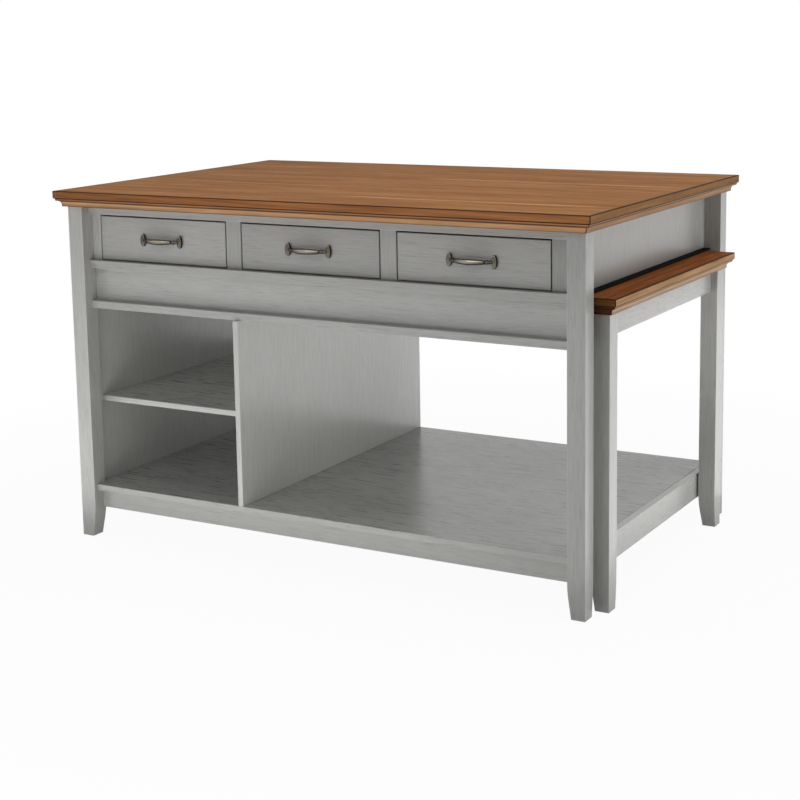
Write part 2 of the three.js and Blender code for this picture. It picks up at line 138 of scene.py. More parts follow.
def makePiece(name, shells, smooth=False, rubbedAndLit=None):
    # one mesh object at the origin from closed shells; the rubbing shares give each shell's worn
    # spots, painted highlights and painted shade
    points, faces, start = [], [], 0
    for shellPoints, shellQuads in shells:
        points.append(shellPoints)
        faces += [[corner + start for corner in face] for face in shellQuads]
        start += len(shellPoints)
    mesh = bpy.data.meshes.new(name)
    mesh.from_pydata(np.concatenate(points).tolist(), [], faces)
    mesh.validate()
    if rubbedAndLit:
        wornAndLit = mesh.attributes.new("rubbedAndLit", "FLOAT", "POINT")
        shares = np.concatenate([part.ravel() for part in rubbedAndLit])
        wornAndLit.data.foreach_set("value", shares.astype(np.float32))
    mesh.polygons.foreach_set("use_smooth", np.full(len(mesh.polygons), smooth))
    mesh.update()
    piece = bpy.data.objects.new(name, mesh)
    bpy.context.scene.collection.objects.link(piece)
    return piece


# the photograph's place, angle and framing
photoCamera = {
    "lens": 74.617,
    "sensor": 36,
    "clip": (0.05, 60),
    "place": (2.09771, -3.70963, 1.32525),
    "turn": (80.7942, 0.9446, 29.5579),
    "shiftUp": -0.1375,
}


def placeCamera(look):
    lens = bpy.data.cameras.new("photoCamera")
    lens.sensor_width = look["sensor"]
    lens.lens = look["lens"]
    lens.shift_y = look["shiftUp"]
    lens.clip_start, lens.clip_end = look["clip"]
    camera = bpy.data.objects.new("photoCamera", lens)
    camera.location = look["place"]
    camera.rotation_euler = [math.radians(v) for v in look["turn"]]
    bpy.context.scene.collection.objects.link(camera)
    bpy.context.scene.camera = camera


placeCamera(photoCamera)
bpy.context.scene.view_settings.view_transform = "Standard"
print("camera placed")


studio = {
    "skyLight": 0.01,       # plain level that the white surround gives to matt surfaces
    # place, point aimed at, width and height in metres, and brightness, where 1 is white
    "lamps": {
        "top": ((0.2, -0.2, 3.6), (0.2, -0.2, 0), (3.0, 2.4), 2.5),
        "frontHigh": ((0.2, -3.0, 2.8), (0, 0, 0.4), (3.0, 1.6), 1.4),
        "frontCard": ((-0.5, -1.9, 0.28), (-0.4, 0, 0.28), (2.6, 0.5), 1.0),
        "rightHigh": ((2.8, 0.6, 3.0), (0.2, 0, 0.4), (2.4, 2.0), 1.5),
        "rightLow": ((3.0, 0.2, 0.45), (0.6, 0.1, 0.2), (1.8, 0.8), 2.8),
        "floorBehind": ((1.2, 2.3, 0.01), (1.2, 2.3, 1.0), (2.2, 3.4), 0.8),
        "floorBefore": ((-0.9, -1.3, 0.01), (-0.9, -1.3, 1.0), (2.2, 1.1), 1.05),
        "floorNearFront": ((-0.2, -0.85, 0.01), (-0.2, -0.85, 1.0), (1.6, 0.5), 0.85),
        "floorNearRight": ((1.575, 0.0, 0.01), (1.575, 0.0, 1.0), (1.45, 1.2), 0.95),
        "leftFill": ((-3.0, -0.1, 0.6), (-0.7, -0.05, 0.45), (2.2, 1.0), 3.4),
        "backFill": ((0.1, 3.1, 0.75), (0.0, 0.45, 0.7), (2.6, 0.9), 2.8),
    },
}


def addLamp(name, place, target, size, brightness):
    # a flat lamp turned towards its target; its power is its brightness times pi times its area
    lamp = bpy.data.lights.new(name, "AREA")
    lamp.shape = "RECTANGLE"
    lamp.size, lamp.size_y = size
    lamp.energy = brightness * math.pi * size[0] * size[1]
    holder = bpy.data.objects.new(name, lamp)
    away = np.array(place) - np.array(target)
    holder.location = place
    flat = math.hypot(away[0], away[1])
    holder.rotation_euler = (math.atan2(flat, away[2]), 0, math.atan2(away[0], -away[1]))
    holder.visible_camera = False
    # a fill lamp lights the far sides and shows in no gloss
    holder.visible_glossy = "Fill" not in name
    bpy.context.scene.collection.objects.link(holder)


def seenRays(tree):
    # 1 for rays that show the backdrop: from the camera, off gloss, and through glass
    path = addNode(tree, "LightPath")
    first = addNode(tree, "Math", {"operation": "MAXIMUM"},
                    {0: path.outputs["Is Camera Ray"], 1: path.outputs["Is Glossy Ray"]})
    return addNode(tree, "Math", {"operation": "MAXIMUM"},
                   {0: first, 1: path.outputs["Is Transmission Ray"]})


def whiteSurround(look):
    world = bpy.data.worlds.new("whiteSurround")
    bpy.context.scene.world = world
    world.use_nodes = True
    tree = world.node_tree
    tree.nodes.clear()
    strength = addNode(tree, "MapRange",
                       inputs={"Value": seenRays(tree), 3: look["skyLight"], 4: 1.0})
    sky = addNode(tree, "Background", inputs={"Color": (1, 1, 1, 1), "Strength": strength})
    addNode(tree, "OutputWorld", inputs={"Surface": sky})


floorLook = {"size": 30.0, "shadowShare": 0.05, "fadeFrom": 1.1, "fadeTo": 2.4, "matt": "#e6e6e6"}


def sweepFloor(look):
    # a plain pale floor: seen as white, with only a soft share of the real shadow near the object
    half = look["size"] / 2
    mesh = bpy.data.meshes.new("studioFloor")
    corners = [(-half, -half, 0), (half, -half, 0), (half, half, 0), (-half, half, 0)]
    mesh.from_pydata(corners, [], [(0, 1, 2, 3)])
    floor = bpy.data.objects.new("studioFloor", mesh)
    bpy.context.scene.collection.objects.link(floor)
    material, tree = newMaterial("paleStudioFloor")
    place = addNode(tree, "TexCoord")
    reach = addNode(tree, "VectorMath", {"operation": "LENGTH"}, {0: place.outputs["Object"]})
    fade = addNode(tree, "MapRange", {"interpolation_type": "SMOOTHSTEP"},
                   {"Value": reach.outputs["Value"], 1: look["fadeFrom"], 2: look["fadeTo"],
                    3: 1 - look["shadowShare"], 4: 1.0})
    share = addNode(tree, "Math", {"operation": "MULTIPLY"}, {0: fade, 1: seenRays(tree)})
    matt = addNode(tree, "BsdfDiffuse", inputs={"Color": linear(look["matt"])})
    white = addNode(tree, "Emission", inputs={"Color": (1, 1, 1, 1), "Strength": 1.0})
    endMaterial(tree, addNode(tree, "MixShader", inputs={0: share, 1: matt, 2: white}))
    setMaterial(floor, material)


whiteSurround(studio)
sweepFloor(floorLook)
for lampName, settings in studio["lamps"].items():
    addLamp(lampName + "Lamp", *settings)
print("studio lit")


facingSpan = {1: 0.3, 2: 0.8}       # from where to where a face counts as looking along an axis
fullShare = 0.2                     # share of a soft line's half width that has its full strength


def facingAxes(tree, coordinates):
    # how much the surface looks along X, Y and Z, each 0 to 1
    facing = addNode(tree, "VectorMath", {"operation": "ABSOLUTE"},
                     {0: coordinates.outputs["Normal"]})
    return addNode(tree, "SeparateXYZ", inputs={0: facing})


def byFacing(tree, facing, pair):
    # the first number of a pair on flat faces, and the second on upright ones
    flat, upright = pair
    return addNode(tree, "MapRange", inputs={"Value": facing.outputs[2], **facingSpan,
                                             3: upright, 4: flat})


def edgeGaps(tree, place, low, high):
    # the distances from a point to the nearer X, Y and Z faces of a box
    centre = [(a + b) / 2 for a, b in zip(low, high)]
    half = [(b - a) / 2 for a, b in zip(low, high)]
    off = addNode(tree, "VectorMath", {"operation": "SUBTRACT"}, {0: place, 1: centre})
    size = addNode(tree, "VectorMath", {"operation": "ABSOLUTE"}, {0: off})
    gap = addNode(tree, "VectorMath", {"operation": "SUBTRACT"}, {0: half, 1: size})
    return addNode(tree, "SeparateXYZ", inputs={0: gap}).outputs


def edgeDistance(tree, place, low, high):
    # distance to a box's nearest edge: the middle one of the distances to its pairs of faces
    x, y, z = edgeGaps(tree, place, low, high)
    smaller = addNode(tree, "Math", {"operation": "MINIMUM"}, {0: x, 1: y})
    larger = addNode(tree, "Math", {"operation": "MAXIMUM"}, {0: x, 1: y})
    rest = addNode(tree, "Math", {"operation": "MINIMUM"}, {0: larger, 1: z})
    return addNode(tree, "Math", {"operation": "MAXIMUM"}, {0: smaller, 1: rest})


def ownPlace(tree, place, dice):
    # each part's pattern starts from a random place of its own
    start = [dice.uniform(-9, 9) for _ in range(3)]
    return addNode(tree, "Mapping", inputs={"Vector": place, "Location": start})


def weighedSum(tree, terms, weights):
    # the sum of the terms, each times its weight
    total = 0.0
    for term, weight in zip(terms, weights):
        total = addNode(tree, "Math", {"operation": "MULTIPLY_ADD"}, {0: term, 1: weight, 2: total})
    return total


def threeTones(look, tone=1.0):
    # dark, body and light round the middle of a mixed pattern
    return [(0.5 - look["spread"], linear(look["dark"], tone)), (0.5, linear(look["body"], tone)),
            (0.5 + look["spread"], linear(look["light"], tone))]


def endFinish(tree, colour, pattern, height, look, **settings):
    # what every finish ends with: the roughness goes from its second number to its first as the
    # pattern rises through sheenSpan, and height gives the relief
    low, high = look["sheenSpan"]
    strength, distance = look["bump"]
    sheen = addNode(tree, "MapRange", inputs={"Value": pattern, 1: low, 2: high,
                                              3: look["roughness"][1], 4: look["roughness"][0]})
    relief = addNode(tree, "Bump", inputs={"Strength": strength, "Distance": distance,
                                           "Height": height})
    endMaterial(tree, addNode(tree, "BsdfPrincipled", inputs={
        "Base Color": colour, "Roughness": sheen, "Normal": relief, **settings}))


def stretchedNoise(tree, place, scale, detail, roughness=0.5, distortion=0.0):
    # noise whose features have the given size in metres along each axis
    mapped = addNode(tree, "Mapping", inputs={"Vector": place, "Scale": [1 / s for s in scale]})
    return addNode(tree, "TexNoise", {"noise_dimensions": "3D"},
                   {"Vector": mapped, "Scale": 1.0, "Detail": detail, "Roughness": roughness,
                    "Distortion": distortion})


def grainSize(grain, across, along):
    # a feature's size on X, Y and Z: long on the axis of the grain and short on the two others
    return [along if axis == grain else across for axis in "XYZ"]


def wrappedGrain(tree, place, facing, grain, size, detail, roughness=0.5, distortion=0.0):
    # noise along the grain; on the faces that look along the grain it runs along their edge instead
    crossed, end = {"X": ("Y", 0), "Y": ("X", 1), "Z": ("X", 2)}[grain]
    main, turned = (stretchedNoise(tree, place, grainSize(way, *size), detail, roughness,
                                   distortion) for way in (grain, crossed))
    return addNode(tree, "Mix", {"data_type": "FLOAT"},
                   {0: facing.outputs[end], 2: main, 3: turned})


paintLook = {
    "body": "#b3b3b0", "dark": "#aaaaa7", "light": "#b8b8b5", "rubbedAndLit": "#cfcfcb",
    "streak": (6 * mm, 170 * mm), "line": (1.7 * mm, 48 * mm), "cloud": 170 * mm,
    "weights": (0.55, 0.35, 0.10),      # of line, streak and cloud in the mixed pattern
    "spread": 0.13,                     # how far from its middle the pattern turns dark or light
    # the pale arrises are partly rubbed wear and partly painted highlight, and the upright-face
    # share lays the pale colour on upright faces as painted light
    "arrisWidth": 1.8 * mm, "arrisShare": 0.45, "faceToneAndLightShare": 0.0,
    "open": (1.8 * mm, 60 * mm), "openRange": (0.36, 0.43), "openGrain": "#7e7e7b",
    "openShare": 0.34, "toneSpread": 0.02,
    "roughness": (0.19, 0.30), "sheenSpan": (0.3, 0.7), "bump": (0.6, 0.3 * mm),
}
# the boards' upright faces take half of the pale colour as painted light
boardLook = dict(paintLook, dark="#949491", body="#b0afac", spread=0.104, faceToneAndLightShare=0.5,
                 open=(5.0 * mm, 70 * mm),      # coarser than the real grain, so that it shows
                 openGrain="#4e4e4c", openShare=0.62)
panelLook = dict(paintLook, dark="#acacaa", light="#b9b9b6", openShare=0.24)
# each part's tone below is partly its own paint tone and partly painted light and shade
partToneAndShade = {      # how much lighter or darker each painted part came out than its neighbours
    "leg_front_left": 1.12, "leg_back_right": 0.90, "fascia_panel": 1.04,
    "stile_left": 1.24, "stile_middle_left": 0.90, "stile_middle_right": 0.93, "stile_right": 0.77,
    "rail_top": 1.08, "rail_middle": 0.95, "rail_lower": 0.94,
    "drawer_2_front": 0.90, "drawer_3_front": 0.97, "shelf": 1.10, "bottom_board": 0.84,
    "side_panel_left": 1.26, "side_panel_right": 1.08, "divider_panel": 1.20,
    "bottom_rail_front": 1.10, "bottom_rail_right": 1.18,
    "table_apron": 0.95, "table_leg_front": 1.06,
}


def brushedPaint(name, low, high, grain, look, dice):
    # wire-brushed oak under grey satin lacquer: open grain lines show darker through it, and the
    # arrises are pale, partly rubbed wear and partly painted highlight; upright faces can take a
    # share of that pale colour as painted light
    material, tree = newMaterial("brushedGreyLacquer_" + name)
    coordinates = addNode(tree, "TexCoord")
    place = coordinates.outputs["Object"]
    moved = ownPlace(tree, place, dice)
    streak = stretchedNoise(tree, moved, grainSize(grain, *look["streak"]),
                            detail=3.0, roughness=0.6, distortion=0.4)
    line = stretchedNoise(tree, moved, grainSize(grain, *look["line"]), detail=2.0, roughness=0.55)
    cloud = stretchedNoise(tree, moved, [look["cloud"]] * 3, detail=2.0)
    mixed = weighedSum(tree, (line, streak, cloud), look["weights"])
    # the part's tone here is partly painted light and shade
    tone = partToneAndShade.get(name, 1) * (1 + dice.uniform(-1, 1) * look["toneSpread"])
    paint = fillRamp(addNode(tree, "ValToRGB", inputs={0: mixed}), threeTones(look, tone))
    thin = stretchedNoise(tree, moved, grainSize(grain, *look["open"]),
                          detail=2.0, roughness=0.6, distortion=0.5)
    gaps = addNode(tree, "MapRange", {"interpolation_type": "SMOOTHSTEP"},
                   {"Value": thin, 1: look["openRange"][0], 2: look["openRange"][1],
                    3: look["openShare"], 4: 0.0})
    paint = addNode(tree, "Mix", {"data_type": "RGBA"},
                    {0: gaps, 6: paint, 7: linear(look["openGrain"], tone)}).outputs[2]
    # pale arrises: partly rubbed wear, partly painted highlight
    edge = edgeDistance(tree, place, low, high)
    wobble = addNode(tree, "Math", {"operation": "MULTIPLY_ADD"},
                     {0: line, 1: look["arrisWidth"] * 2, 2: -look["arrisWidth"]})
    wornAndLit = addNode(tree, "Math", {"operation": "ADD"}, {0: edge, 1: wobble})
    mask = addNode(tree, "MapRange", {"interpolation_type": "SMOOTHSTEP"},
                   {"Value": wornAndLit, 1: fullShare * look["arrisWidth"], 2: look["arrisWidth"],
                    3: look["arrisShare"], 4: 0.0})
    # upright faces take a share of the pale colour as painted light
    upright = byFacing(tree, facingAxes(tree, coordinates), (0.0, look["faceToneAndLightShare"]))
    mask = addNode(tree, "Math", {"operation": "MAXIMUM"}, {0: mask, 1: upright})
    colour = addNode(tree, "Mix", {"data_type": "RGBA"},
                     {0: mask, 6: paint, 7: linear(look["rubbedAndLit"], tone)})
    endFinish(tree, colour.outputs[2], mixed, mixed, look, IOR=1.5)
    return material


# glazeWidth, drift and mottle are pairs, for flat and for upright faces; the drift and lean are
# painted light: how much lighter the wood is made in a metre of X and of Y
stainLook = {
    "dark": "#784d26", "body": "#8f5e2f", "light": "#a3703f", "glazeAndShade": "#120a05",
    "weights": (0.45, 0.35, 0.20),      # of band, streak and line in the mixed pattern
    "spread": 0.14,                     # how far from its middle the pattern turns dark or light
    "pore": "#553819", "poreShare": 0.55, "poreRange": (0.33, 0.41),
    # faces that look along Y and along X take their own tones, partly the wood's own and partly
    # painted light and shade
    "frontToneAndLight": "#a56e48", "sideToneAndLight": "#7f5f41", "faceToneAndLightShare": 0.8, "mottle": (0.45, 1.5),
    # the paler colour in a moulding's hollow is a painted highlight
    "wornAndLit": "#c3966c", "hollowLightShare": (0.9, 0.2),     # on faces that look along Y, and along X
    "hollowLightReach": (0.3, 0.5),            # from the hollow's middle, in shares of its width
    "hollowLightSpan": {1: 0.1, 2: 0.4},       # from where to where a face counts as looking along X
    "band": (42 * mm, 620 * mm), "streak": (7 * mm, 210 * mm), "line": (2.0 * mm, 34 * mm),
    "plank": 123 * mm, "plankTone": 0.05, "lightDrift": (0.02, 0.30), "lean": -0.19,
    "seams": (), "glue": "#c8976a", "glueWander": 30 * mm, "glueFade": 120 * mm,
    "glazeFull": 1.0 * mm, "glazeWidth": (9 * mm, 3.0 * mm), "glazeShare": 0.9,
    "mitre": (1.0 * mm, 3.2 * mm, 0.85), "roughness": (0.52, 0.68), "sheenSpan": (0.3, 0.7),
    "gloss": 0.25, "bump": (0.5, 0.2 * mm),
}
# paler glue lines in the worktop: y, x from, x to, half width and share
glueSeams = ((0.126, -0.05, 0.74, 0.016, 0.50), (-0.333, -0.02, 0.74, 0.008, 0.80),
             (-0.135, -0.66, 0.12, 0.007, 0.45), (0.335, -0.68, 0.05, 0.008, 0.35))
worktopLook = dict(stainLook, gloss=0.04, seams=glueSeams)
# the table's end faces are painted darker as shade, and its sides lighter as painted light
tableLook = dict(stainLook, dark="#74401c", body="#905126", light="#a86633", frontToneAndLight="#6e4d2c",
                 sideToneAndLight="#b38f6b", lightDrift=(0.0, 0.0), lean=0.0, gloss=0.04)
# the front of the table's moulding is painted near black as shade, and its sides take a painted
# highlight in the hollow
tableMouldingLook = dict(tableLook, frontToneAndLight="#241a0d", wornAndLit="#b8a088", hollowLightShare=(0.0, 0.7),
                         gloss=0.12)


def stainedWood(name, low, high, grain, look, dice, profile=None):
    # brown stained hardwood under a satin varnish: warm streaks and short dark pores along the
    # grain, a tone on each face that is partly its own and partly painted light and shade, a paler
    # painted highlight in a moulding's hollow, painted light that makes it lighter towards the right
    # and front, and a dark glaze left on the arrises, with painted shade under a moulding's lip
    material, tree = newMaterial("brownStainedOak_" + name)
    coordinates = addNode(tree, "TexCoord")
    flatPlace = coordinates.outputs["Object"]
    place = coordinates.outputs["UV"] if profile else flatPlace
    moved = ownPlace(tree, place, dice)
    facing = facingAxes(tree, coordinates)
    band = stretchedNoise(tree, moved, grainSize(grain, *look["band"]),
                          detail=3.0, roughness=0.55, distortion=0.6)
    streak = stretchedNoise(tree, moved, grainSize(grain, *look["streak"]),
                            detail=3.0, roughness=0.6, distortion=0.3)
    line = stretchedNoise(tree, moved, grainSize(grain, *look["line"]), detail=2.0, roughness=0.6)
    mixed = weighedSum(tree, (band, streak, line), look["weights"])
    stain = fillRamp(addNode(tree, "ValToRGB", inputs={0: mixed}), threeTones(look))
    if not profile:
        stain = plankTones(tree, place, stain, look)
    for seam in look["seams"]:
        stain = glueLine(tree, place, stain, seam, band, look)
    pores = addNode(tree, "MapRange", {"interpolation_type": "SMOOTHSTEP"},
                    {"Value": line, 1: look["poreRange"][0], 2: look["poreRange"][1],
                     3: look["poreShare"], 4: 0.0})
    colour = addNode(tree, "Mix", {"data_type": "RGBA"},
                     {0: pores, 6: stain, 7: linear(look["pore"])})
    # faces that look along Y and along X take their tones: partly the wood's own, partly painted
    # light and shade
    for axis, edge in ((1, "frontToneAndLight"), (0, "sideToneAndLight")):
        mask = addNode(tree, "MapRange", inputs={"Value": facing.outputs[axis], **facingSpan,
                                                 3: 0.0, 4: look["faceToneAndLightShare"]})
        colour = addNode(tree, "Mix", {"data_type": "RGBA"},
                         {0: mask, 6: colour.outputs[2], 7: linear(look[edge])})
    if profile:
        colour = hollowHighlight(tree, coordinates, colour, facing, profile, look)
        lines = glazeAndShadeLines(tree, coordinates, profile["glazeAndShade"])
        mitre = mitreLine(tree, flatPlace, profile["outline"], look)
        mask = addNode(tree, "Math", {"operation": "MAXIMUM"}, {0: lines, 1: mitre})
    else:
        edge = edgeDistance(tree, place, low, high)
        reach = byFacing(tree, facing, look["glazeWidth"])
        mask = addNode(tree, "MapRange", {"interpolation_type": "SMOOTHSTEP"},
                       {"Value": edge, 1: look["glazeFull"], 2: reach,
                        3: look["glazeShare"], 4: 0.0})
        streak = wrappedGrain(tree, moved, facing, grain, look["streak"],
                              detail=3.0, roughness=0.6, distortion=0.3)
    tone = mottleAndLightDrift(tree, flatPlace, facing, streak, look)
    colour = addNode(tree, "VectorMath", {"operation": "SCALE"},
                     {0: colour.outputs[2], "Scale": tone})
    colour = addNode(tree, "Mix", {"data_type": "RGBA"},
                     {0: mask, 6: colour, 7: linear(look["glazeAndShade"])})
    endFinish(tree, colour.outputs[2], mixed, line, look,
              **{"IOR": 1.5, "Specular IOR Level": look["gloss"]})
    return material


def mottleAndLightDrift(tree, place, facing, streak, look):
    # painted light makes the stain a little lighter towards the right and the front, and it is
    # mottled along its streaks
    x, y = addNode(tree, "SeparateXYZ", inputs={0: place}).outputs[:2]
    lightDrift, mottle = (byFacing(tree, facing, look[share]) for share in ("lightDrift", "mottle"))
    tone = addNode(tree, "Math", {"operation": "MULTIPLY_ADD"}, {0: y, 1: look["lean"], 2: 1.0})
    tone = addNode(tree, "Math", {"operation": "MULTIPLY_ADD"}, {0: x, 1: lightDrift, 2: tone})
    swing = addNode(tree, "Math", {"operation": "SUBTRACT"}, {0: streak, 1: 0.5})
    return addNode(tree, "Math", {"operation": "MULTIPLY_ADD"}, {0: swing, 1: mottle, 2: tone})


def plankTones(tree, place, stain, look):
    # planks side by side across Y, each with its own tone
    across = addNode(tree, "SeparateXYZ", inputs={0: place}).outputs[1]
    count = addNode(tree, "Math", {"operation": "DIVIDE"}, {0: across, 1: look["plank"]})
    index = addNode(tree, "Math", {"operation": "FLOOR"}, {0: count})
    pick = addNode(tree, "TexWhiteNoise", {"noise_dimensions": "1D"}, {"W": index})
    tone = addNode(tree, "MapRange", inputs={"Value": pick.outputs["Value"],
                                             3: 1 - look["plankTone"], 4: 1 + look["plankTone"]})
    return addNode(tree, "VectorMath", {"operation": "SCALE"}, {0: stain, "Scale": tone})


def glueLine(tree, place, stain, seam, wander, look):
    # a paler, slightly wandering line along X that fades out at both of its ends
    y, start, end, half, share = seam
    axes = addNode(tree, "SeparateXYZ", inputs={0: place})
    shift = addNode(tree, "Math", {"operation": "MULTIPLY_ADD"},
                    {0: wander, 1: look["glueWander"], 2: -look["glueWander"] / 2 - y})
    off = addNode(tree, "Math", {"operation": "ADD"}, {0: axes.outputs[1], 1: shift})
    off = addNode(tree, "Math", {"operation": "ABSOLUTE"}, {0: off})
    mask = addNode(tree, "MapRange", {"interpolation_type": "SMOOTHSTEP"},
                   {"Value": off, 1: fullShare * half, 2: half, 3: share, 4: 0.0})
    for point, inward in ((start, look["glueFade"]), (end, -look["glueFade"])):
        ending = addNode(tree, "MapRange", {"interpolation_type": "SMOOTHSTEP"},
                         {"Value": axes.outputs[0], 1: point, 2: point + inward, 3: 0.0, 4: 1.0})
        mask = addNode(tree, "Math", {"operation": "MULTIPLY"}, {0: mask, 1: ending})
    return addNode(tree, "Mix", {"data_type": "RGBA"},
                   {0: mask, 6: stain, 7: linear(look["glue"])}).outputs[2]


def hollowHighlight(tree, coordinates, colour, facing, profile, look):
    # the moulding's hollow gets a painted highlight, paler by one share where it looks along Y and
    # one along X
    run = addNode(tree, "SeparateXYZ", inputs={0: coordinates.outputs["UV"]}).outputs[1]
    start, end = profile["hollow"]
    full, half = ((end - start) * share for share in look["hollowLightReach"])
    off = addNode(tree, "Math", {"operation": "SUBTRACT"}, {0: run, 1: (start + end) / 2})
    off = addNode(tree, "Math", {"operation": "ABSOLUTE"}, {0: off})
    mask = addNode(tree, "MapRange", {"interpolation_type": "SMOOTHSTEP"},
                   {"Value": off, 1: full, 2: half, 3: 1.0, 4: 0.0})
    side = addNode(tree, "MapRange", inputs={"Value": facing.outputs[0], **look["hollowLightSpan"],
                                             3: look["hollowLightShare"][0], 4: look["hollowLightShare"][1]})
    mask = addNode(tree, "Math", {"operation": "MULTIPLY"}, {0: mask, 1: side})
    return addNode(tree, "Mix", {"data_type": "RGBA"},
                   {0: mask, 6: colour.outputs[2], 7: linear(look["wornAndLit"])})


def glazeAndShadeLines(tree, coordinates, arrises):
    # dark glaze, and painted shade under the lip, where the moulding's run, UV's second number, is
    # near one of its arrises
    run = addNode(tree, "SeparateXYZ", inputs={0: coordinates.outputs["UV"]}).outputs[1]
    mask, full = 0.0, 0.25      # a line has its full strength in this share of its half width
    for arris, width, share in arrises:
        off = addNode(tree, "Math", {"operation": "SUBTRACT"}, {0: run, 1: arris})
        off = addNode(tree, "Math", {"operation": "ABSOLUTE"}, {0: off})
        line = addNode(tree, "MapRange", {"interpolation_type": "SMOOTHSTEP"},
                       {"Value": off, 1: full * width, 2: width, 3: share, 4: 0.0})
        mask = addNode(tree, "Math", {"operation": "MAXIMUM"}, {0: mask, 1: line})
    return mask


def mitreLine(tree, place, outline, look):
    # dark along the corner joints, where the distances to the outline's X and Y edges are equal
    full, half, share = look["mitre"]
    x, y = edgeGaps(tree, place, *outline)[:2]
    apart = addNode(tree, "Math", {"operation": "SUBTRACT"}, {0: x, 1: y})
    apart = addNode(tree, "Math", {"operation": "ABSOLUTE"}, {0: apart})
    return addNode(tree, "MapRange", {"interpolation_type": "SMOOTHSTEP"},
                   {"Value": apart, 1: full, 2: half, 3: share, 4: 0.0})


birchLook = {
    "dark": "#b08f62", "body": "#c8aa7d", "light": "#d8be94",
    "streak": (14 * mm, 320 * mm), "line": (2.0 * mm, 50 * mm),
    "weights": (0.4, 0.6),      # of line and streak in the mixed pattern
    "spread": 0.14, "arrisWidth": 1.5 * mm, "arrisShare": 0.4,
    "roughness": (0.5, 0.68), "sheenSpan": (0.3, 0.7), "bump": (0.5, 0.2 * mm),
}


def bareWood(name, low, high, grain, look, dice):
    # sanded birch left bare: pale cream brown with soft, close grain and a dry surface
    material, tree = newMaterial("sandedBirch_" + name)
    coordinates = addNode(tree, "TexCoord")
    place = coordinates.outputs["Object"]
    moved = ownPlace(tree, place, dice)
    facing = facingAxes(tree, coordinates)
    streak = wrappedGrain(tree, moved, facing, grain, look["streak"],
                          detail=3.0, roughness=0.55, distortion=0.5)
    line = wrappedGrain(tree, moved, facing, grain, look["line"], detail=2.0)
    mixed = weighedSum(tree, (line, streak), look["weights"])
    wood = fillRamp(addNode(tree, "ValToRGB", inputs={0: mixed}), threeTones(look))
    edge = edgeDistance(tree, place, low, high)
    mask = addNode(tree, "MapRange", {"interpolation_type": "SMOOTHSTEP"},
                   {"Value": edge, 1: fullShare * look["arrisWidth"], 2: look["arrisWidth"],
                    3: look["arrisShare"], 4: 0.0})
    colour = addNode(tree, "Mix", {"data_type": "RGBA"},
                     {0: mask, 6: wood, 7: linear(look["dark"])})
    endFinish(tree, colour.outputs[2], mixed, line, look, IOR=1.5)
    return material


pewterLook = {
    "tones": ((0.0, "#1b1916"), (0.4, "#57534b"), (0.95, "#a39c90")),
    "patch": 4 * mm, "patchShare": 0.24, "scratch": (0.6 * mm, 7.2 * mm),
    "roughness": (0.16, 0.34), "sheenSpan": (0.0, 1.0), "bump": (0.4, 0.04 * mm),
}


def agedPewter(name, look, dice):
    # cast zinc with a dark pewter finish: grey-brown metal, nearly black in the hollows from patina
    # and on the plates' rims as painted shade, rubbed bright where a hand takes hold, and given
    # painted highlights where it looks forward and up
    material, tree = newMaterial("agedPewter_" + name)
    moved = ownPlace(tree, addNode(tree, "TexCoord").outputs["Object"], dice)
    patch = stretchedNoise(tree, moved, [look["patch"]] * 3, detail=3.0, roughness=0.6)
    scratch = stretchedNoise(tree, moved, grainSize("X", *look["scratch"]), detail=2.0)
    wornAndLit = addNode(tree, "Attribute", {"attribute_name": "rubbedAndLit"}).outputs["Fac"]
    shade = addNode(tree, "Math", {"operation": "MULTIPLY_ADD"},
                    {0: patch, 1: look["patchShare"], 2: -look["patchShare"] / 2})
    shade = addNode(tree, "Math", {"operation": "ADD"}, {0: wornAndLit, 1: shade})
    metal = fillRamp(addNode(tree, "ValToRGB", inputs={0: shade}),
                     [(at, linear(colour)) for at, colour in look["tones"]])
    endFinish(tree, metal, shade, scratch, look, Metallic=1.0)
    return material


nylonLook = {
    "tones": ((0.4, "#242424"), (0.6, "#3a3a3a")), "speck": 1.2 * mm,
    "roughness": (0.6, 0.45), "sheenSpan": (0.3, 0.7), "bump": (0.3, 0.05 * mm), "gloss": 0.5,
}
# the near-black strip that stands in for shade in the slot over the leaf
shadowGapNylon = dict(nylonLook, tones=((0.4, "#0b0b0b"), (0.6, "#161616")), speck=0.8 * mm,
                  roughness=(0.9, 0.8), bump=(0.3, 0.3 * mm), gloss=0.04)


def mouldedNylon(name, look):
    # injection moulded nylon: dull black with a fine grained skin
    material, tree = newMaterial("mouldedNylon_" + name)
    place = addNode(tree, "TexCoord").outputs["Object"]
    speck = stretchedNoise(tree, place, [look["speck"]] * 3, detail=2.0)
    skin = fillRamp(addNode(tree, "ValToRGB", inputs={0: speck}),
                    [(at, linear(colour)) for at, colour in look["tones"]])
    endFinish(tree, skin, speck, speck, look,
              **{"IOR": 1.53, "Specular IOR Level": look["gloss"]})
    return material


# which way the grain runs on each CAD node; what isn't named here runs along X
grainAlongZ = ("leg_", "stile_", "side_panel_", "divider_panel", "table_leg_", "partition_")
grainAlongY = ("bottom_rail_left", "bottom_rail_right", "table_apron", "table_underframe",
               "table_slab", "runner", "_slide")
lookOf = {"bottom_board": boardLook, "shelf": boardLook, "divider_panel": panelLook,
          "side_panel_left": panelLook, "side_panel_right": panelLook}
finishOf = {part["node"]: part["material_slot"] for part in frame["record"]["subparts"]}


def grainOf(name):
    if any(part in name for part in grainAlongZ):
        return "Z"
    return "Y" if any(part in name for part in grainAlongY) else "X"


